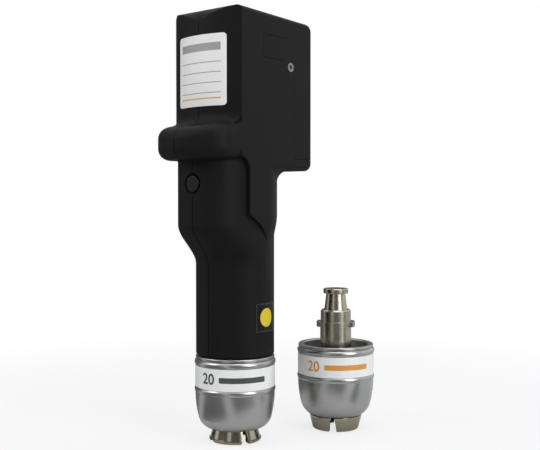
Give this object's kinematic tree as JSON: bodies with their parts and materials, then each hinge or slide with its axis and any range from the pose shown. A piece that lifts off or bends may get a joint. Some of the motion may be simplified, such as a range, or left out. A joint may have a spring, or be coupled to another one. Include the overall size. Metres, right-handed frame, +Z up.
{
  "type": "electronic vial crimper",
  "caption": "Hand-held electronic tool for crimp-sealed vials, with a decapper head fitted and a crimper head beside it.",
  "frame": {"origin": "on the fitted head's axis, in the plane of its jaw tips", "axes": "+Z up the tool from the jaws to the top; -Y towards the front with the guard and the button; +X to its right side"},
  "size_m": [0.0833, 0.1435, 0.2633],
  "materials": {
    "housing_plastic": "fine satin texture",
    "label": "white printed film",
    "dark_screw": "blackened steel",
    "button_plastic": "smooth satin",
    "board": "green laminate",
    "switch": "moulded",
    "cell_wrap": "shrink wrap",
    "tray_plastic": "moulded",
    "steel": "turned",
    "zinc": "plated",
    "brass": "turned",
    "aluminium": "satin turned",
    "band_film": "white printed film",
    "nylon": "nylon",
    "spring": "spring wire"
  },
  "bodies": {
    "tool": {"housing_right": "housing_plastic", "housing_left": "housing_plastic", "rear_cover": "housing_plastic", "cover_screws": "dark_screw", "housing_screws": "dark_screw", "front_label": "label", "trigger_switch": "switch", "control_board": "board", "guide_rods": "steel", "bearing_plate": "zinc", "thrust_bearing": "steel", "gearbox": "zinc", "motor": "zinc", "battery_cells": "cell_wrap", "battery_tray": "tray_plastic", "nose_socket": "zinc", "socket_plate": "zinc", "socket_screws": "dark_screw"},
    "trigger": {"trigger_button": "button_plastic"},
    "carriage": {"carriage": "zinc", "drive_nut": "brass", "guide_bushes": "brass"},
    "screw": {"lead_screw": "steel"},
    "decapper_head": {"decapper_bell": "aluminium", "decapper_band": "band_film", "decapper_sleeve": "steel"},
    "decapper_rod_body": {"decapper_rod": "steel", "decapper_hub": "steel", "decapper_pins": "steel", "decapper_anvil": "nylon", "decapper_spring": "spring"},
    "decapper_jaw_1_body": {"decapper_jaw_1": "steel"},
    "decapper_jaw_2_body": {"decapper_jaw_2": "steel"},
    "decapper_jaw_3_body": {"decapper_jaw_3": "steel"},
    "decapper_jaw_4_body": {"decapper_jaw_4": "steel"},
    "crimper_head": {"crimper_bell": "aluminium", "crimper_band": "band_film", "crimper_sleeve": "steel"},
    "crimper_rod_body": {"crimper_rod": "steel", "crimper_hub": "steel", "crimper_pins": "steel", "crimper_anvil": "nylon", "crimper_spring": "spring"},
    "crimper_jaw_1_body": {"crimper_jaw_1": "steel"},
    "crimper_jaw_2_body": {"crimper_jaw_2": "steel"},
    "crimper_jaw_3_body": {"crimper_jaw_3": "steel"},
    "crimper_jaw_4_body": {"crimper_jaw_4": "steel"}
  },
  "joints": [
    {"name": "trigger_press", "type": "slide", "parent": "tool", "child": "trigger", "axis": [0, 1, 0], "range_m": [0, 0.002], "stiffness_N_per_m": 300, "springref_m": -0.005},
    {"name": "carriage_slide", "type": "slide", "parent": "tool", "child": "carriage", "axis": [0, 0, 1], "range_m": [0, 0.006]},
    {"name": "screw_spin", "type": "hinge", "parent": "tool", "child": "screw", "pos_m": [0, 0, 0.115], "axis": [0, 0, 1], "range_deg": [0, 721]},
    {"name": "head_twist", "type": "hinge", "parent": "tool", "child": "decapper_head", "pos_m": [0, 0, 0.06], "axis": [0, 0, 1], "range_deg": [0, 75]},
    {"name": "decapper_rod_slide", "type": "slide", "parent": "decapper_head", "child": "decapper_rod_body", "axis": [0, 0, 1], "range_m": [0, 0.00601], "deforming": ["decapper_spring"]},
    {"name": "spare_head_lift", "type": "slide", "parent": "tool", "child": "crimper_head", "axis": [0, 0, 1], "range_m": [0, 0.06]},
    {"name": "crimper_rod_slide", "type": "slide", "parent": "crimper_head", "child": "crimper_rod_body", "axis": [0, 0, 1], "range_m": [0, 0.006], "stiffness_N_per_m": 500, "springref_m": -0.004, "deforming": ["crimper_spring"]},
    {"name": "decapper_jaw_1_swing", "type": "hinge", "parent": "decapper_rod_body", "child": "decapper_jaw_1_body", "pos_m": [0.0094, 0.00342, 0.0298], "axis": [-0.342, 0.9397, 0], "range_deg": [0, 3.1]},
    {"name": "decapper_jaw_2_swing", "type": "hinge", "parent": "decapper_rod_body", "child": "decapper_jaw_2_body", "pos_m": [-0.00342, 0.0094, 0.0298], "axis": [-0.9397, -0.342, 0], "range_deg": [0, 3.1]},
    {"name": "decapper_jaw_3_swing", "type": "hinge", "parent": "decapper_rod_body", "child": "decapper_jaw_3_body", "pos_m": [-0.0094, -0.00342, 0.0298], "axis": [0.342, -0.9397, 0], "range_deg": [0, 3.1]},
    {"name": "decapper_jaw_4_swing", "type": "hinge", "parent": "decapper_rod_body", "child": "decapper_jaw_4_body", "pos_m": [0.00342, -0.0094, 0.0298], "axis": [0.9397, 0.342, 0], "range_deg": [0, 3.1]},
    {"name": "crimper_jaw_1_swing", "type": "hinge", "parent": "crimper_rod_body", "child": "crimper_jaw_1_body", "pos_m": [0.04056, 0.06208, 0.032], "axis": [0.2924, 0.9563, 0], "range_deg": [0, 3.6]},
    {"name": "crimper_jaw_2_swing", "type": "hinge", "parent": "crimper_rod_body", "child": "crimper_jaw_2_body", "pos_m": [0.03392, 0.07456, 0.032], "axis": [-0.9563, 0.2924, 0], "range_deg": [0, 3.6]},
    {"name": "crimper_jaw_3_swing", "type": "hinge", "parent": "crimper_rod_body", "child": "crimper_jaw_3_body", "pos_m": [0.02144, 0.06792, 0.032], "axis": [-0.2924, -0.9563, 0], "range_deg": [0, 3.6]},
    {"name": "crimper_jaw_4_swing", "type": "hinge", "parent": "crimper_rod_body", "child": "crimper_jaw_4_body", "pos_m": [0.02808, 0.05544, 0.032], "axis": [0.9563, -0.2924, 0], "range_deg": [0, 3.6]}
  ],
  "couplings": [
    {"joint": "screw_spin", "follows": "carriage_slide", "rad_per_m": 2094.4},
    {"joint": "decapper_rod_slide", "follows": "carriage_slide", "ratio": 1},
    {"joint": "decapper_jaw_1_swing", "follows": "carriage_slide", "rad_per_m": 8.9594},
    {"joint": "decapper_jaw_2_swing", "follows": "carriage_slide", "rad_per_m": 8.9594},
    {"joint": "decapper_jaw_3_swing", "follows": "carriage_slide", "rad_per_m": 8.9594},
    {"joint": "decapper_jaw_4_swing", "follows": "carriage_slide", "rad_per_m": 8.9594},
    {"joint": "crimper_jaw_1_swing", "follows": "crimper_rod_slide", "rad_per_m": 10.414},
    {"joint": "crimper_jaw_2_swing", "follows": "crimper_rod_slide", "rad_per_m": 10.414},
    {"joint": "crimper_jaw_3_swing", "follows": "crimper_rod_slide", "rad_per_m": 10.414},
    {"joint": "crimper_jaw_4_swing", "follows": "crimper_rod_slide", "rad_per_m": 10.414}
  ]
}
